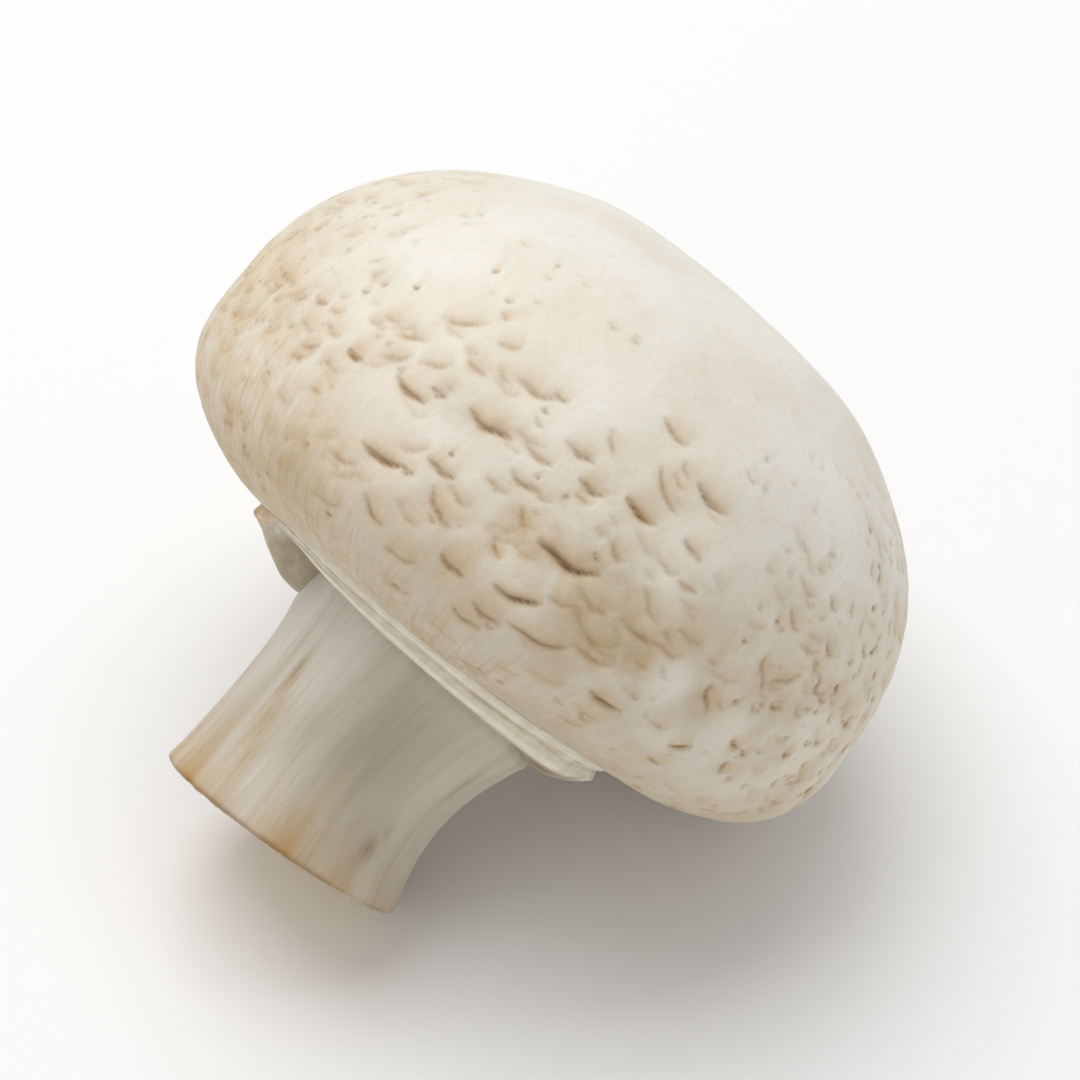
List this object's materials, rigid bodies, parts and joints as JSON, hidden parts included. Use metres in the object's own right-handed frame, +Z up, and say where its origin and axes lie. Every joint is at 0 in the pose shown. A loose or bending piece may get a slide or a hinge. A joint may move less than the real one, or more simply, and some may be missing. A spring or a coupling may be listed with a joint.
{
  "type": "button mushroom",
  "caption": "Fresh closed-cup button mushroom lying on its side: scaly domed cap, torn veil collar and short cut stem in one body.",
  "frame": {"origin": "centre of the bounding box in plan, on the surface that the mushroom lies on", "axes": "+Z up; the top of the cap leans toward +X and up, the cut end of the stem points toward -X and down, and +Y runs across the cap"},
  "size_m": [0.047, 0.0478, 0.0439],
  "materials": {
    "mushroom_flesh": "matte cream-white skin with tan-edged scales, tan stains on the stem and at its cut end"
  },
  "bodies": {
    "root": {"button_mushroom": "mushroom_flesh"}
  },
  "joints": []
}
